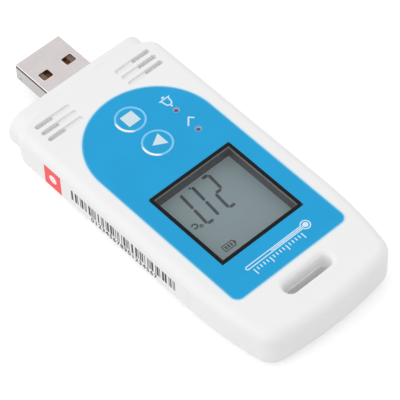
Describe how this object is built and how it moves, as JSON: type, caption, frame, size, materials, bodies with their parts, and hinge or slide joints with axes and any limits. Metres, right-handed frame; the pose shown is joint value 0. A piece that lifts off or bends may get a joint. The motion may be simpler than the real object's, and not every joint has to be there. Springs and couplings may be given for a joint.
{
  "type": "temperature data logger",
  "caption": "White pocket temperature data logger with a blue face, small display, two round buttons, side label, lanyard slot and a bare plug for a computer.",
  "frame": {"origin": "middle of the bottom of the overall box: the back's plane, centred across the width and along the whole length with the plug", "axes": "+Z points out of the display, +Y runs from the plug to the lanyard slot, +X is the side with the label"},
  "size_m": [0.0382, 0.0912, 0.0107],
  "materials": {
    "shell": "fine moulded texture, slightly soft sheen",
    "overlay": "printed film with a fine texture, white print",
    "window": "clear polished plate",
    "gasket": "dull black",
    "frame": "dull dark moulding",
    "display_glass": "grey-green display with dark segments",
    "reflector": "diffuse silver film",
    "elastomer": "dull striped rubber",
    "board": "green solder resist",
    "button": "blue moulded cap with a white icon",
    "plunger": "dull black",
    "switch": "stamped cover",
    "light_pipe": "dark red clear plastic",
    "led": "small moulded chip",
    "chip": "black moulding",
    "can": "plated can",
    "plug_metal": "nickel plated sheet",
    "insulator": "dark moulding",
    "contact_metal": "gold plated strip",
    "cell_metal": "stamped steel can",
    "lid": "moulded",
    "label": "printed film with dark bars and a red end",
    "screw": "plated steel"
  },
  "bodies": {
    "case": {"front_shell": "shell", "back_shell": "shell", "face_overlay": "overlay", "display_window": "window", "window_gasket": "gasket", "display_frame": "frame", "lcd_front_glass": "display_glass", "lcd_rear_glass": "display_glass", "lcd_reflector": "reflector", "elastomer_strip": "elastomer", "circuit_board": "board", "stop_switch": "switch", "start_switch": "switch", "alarm_light_pipe": "light_pipe", "ok_light_pipe": "light_pipe", "alarm_led": "led", "ok_led": "led", "microcontroller": "chip", "crystal": "can", "climate_sensor": "chip", "usb_shell": "plug_metal", "usb_insulator": "insulator", "usb_contact_1": "contact_metal", "usb_contact_2": "contact_metal", "usb_contact_3": "contact_metal", "usb_contact_4": "contact_metal", "battery_cell": "cell_metal", "positive_contact": "contact_metal", "negative_contact": "contact_metal", "side_label": "label", "board_screws": "screw", "case_screws": "screw"},
    "stop_button": {"stop_button": "button", "stop_plunger": "plunger"},
    "start_button": {"start_button": "button", "start_plunger": "plunger"},
    "battery_lid": {"battery_lid": "lid"}
  },
  "joints": [
    {"name": "stop_press", "type": "slide", "parent": "case", "child": "stop_button", "axis": [0, 0, -1], "range_m": [0, 0.0003], "stiffness_N_per_m": 1000},
    {"name": "start_press", "type": "slide", "parent": "case", "child": "start_button", "axis": [0, 0, -1], "range_m": [0, 0.0003], "stiffness_N_per_m": 1000},
    {"name": "lid_turn", "type": "hinge", "parent": "case", "child": "battery_lid", "pos_m": [0, 0.01333, 0.0007], "axis": [0, 0, -1], "range_deg": [0, 40]}
  ]
}
